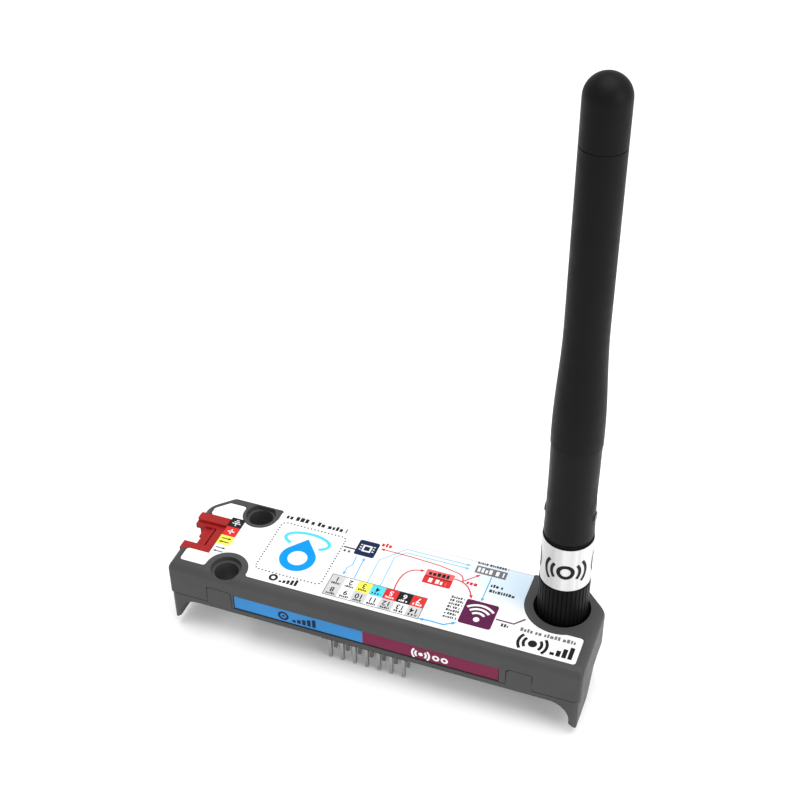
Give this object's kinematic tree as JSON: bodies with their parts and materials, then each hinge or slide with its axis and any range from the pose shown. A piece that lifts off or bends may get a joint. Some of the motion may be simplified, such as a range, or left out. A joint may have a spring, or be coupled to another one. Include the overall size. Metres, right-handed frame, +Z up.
{
  "type": "plug-on radio expansion module with tilting antenna",
  "caption": "Dark grey plug-on radio module for a handheld computer, with a printed label, red port, pin header underneath and a black swivelling, tilting antenna.",
  "frame": {"origin": "middle of the pin header, on the underside of the cover", "axes": "+X along the body from the port to the antenna, +Y from its front to its back, +Z up the antenna"},
  "size_m": [0.0834, 0.0214, 0.1247],
  "materials": {
    "housing_plastic": "fine moulded texture, dark grey",
    "label_print": "white printed film",
    "blue_print": "satin printed film",
    "maroon_print": "satin printed film",
    "red_plastic": "moulded nylon",
    "board_laminate": "solder mask",
    "black_plastic": "moulded epoxy",
    "ceramic": "fired ceramic",
    "silvered": "plated",
    "plated_contact": "plated",
    "jack_brass": "plated brass",
    "white_insulator": "turned plastic",
    "screw_steel": "blackened steel",
    "nut_black": "black finish",
    "antenna_hard_plastic": "smooth black",
    "antenna_rubbery": "satin black",
    "radiator_metal": "drawn"
  },
  "bodies": {
    "module": {"top_housing": "housing_plastic", "bottom_cover": "housing_plastic", "top_label": "label_print", "side_strip_blue": "blue_print", "side_strip_maroon": "maroon_print", "port_socket": "red_plastic", "circuit_board": "board_laminate", "receiver_chip": "black_plastic", "expander_chip": "black_plastic", "regulator_chip": "black_plastic", "power_inductor": "black_plastic", "header_base": "black_plastic", "ceramic_patch": "ceramic", "chip_passives": "ceramic", "patch_plate": "silvered", "radio_shield": "silvered", "crystals": "silvered", "port_contacts": "plated_contact", "header_pins": "plated_contact", "rf_jack_contact": "plated_contact", "rf_jack_body": "jack_brass", "rf_jack_insulator": "white_insulator", "cover_screws": "screw_steel", "antenna_nut": "nut_black"},
    "swivel": {"antenna_ferrule": "jack_brass", "ferrule_insulator": "white_insulator", "antenna_contact": "plated_contact", "hinge_base": "antenna_hard_plastic", "ring_label": "label_print"},
    "whip": {"hinge_sleeve": "antenna_hard_plastic", "hinge_pin": "screw_steel", "whip_tube": "antenna_rubbery", "whip_cap": "antenna_rubbery", "radiator_rod": "radiator_metal"}
  },
  "joints": [
    {"name": "antenna_swivel", "type": "hinge", "parent": "module", "child": "swivel", "pos_m": [0.03475, 0.01123, 0.0177], "axis": [0, 0, 1], "continuous": true},
    {"name": "antenna_tilt", "type": "hinge", "parent": "swivel", "child": "whip", "pos_m": [0.03475, 0.01123, 0.0332], "axis": [-1, 0, 0], "range_deg": [0, 90]}
  ]
}
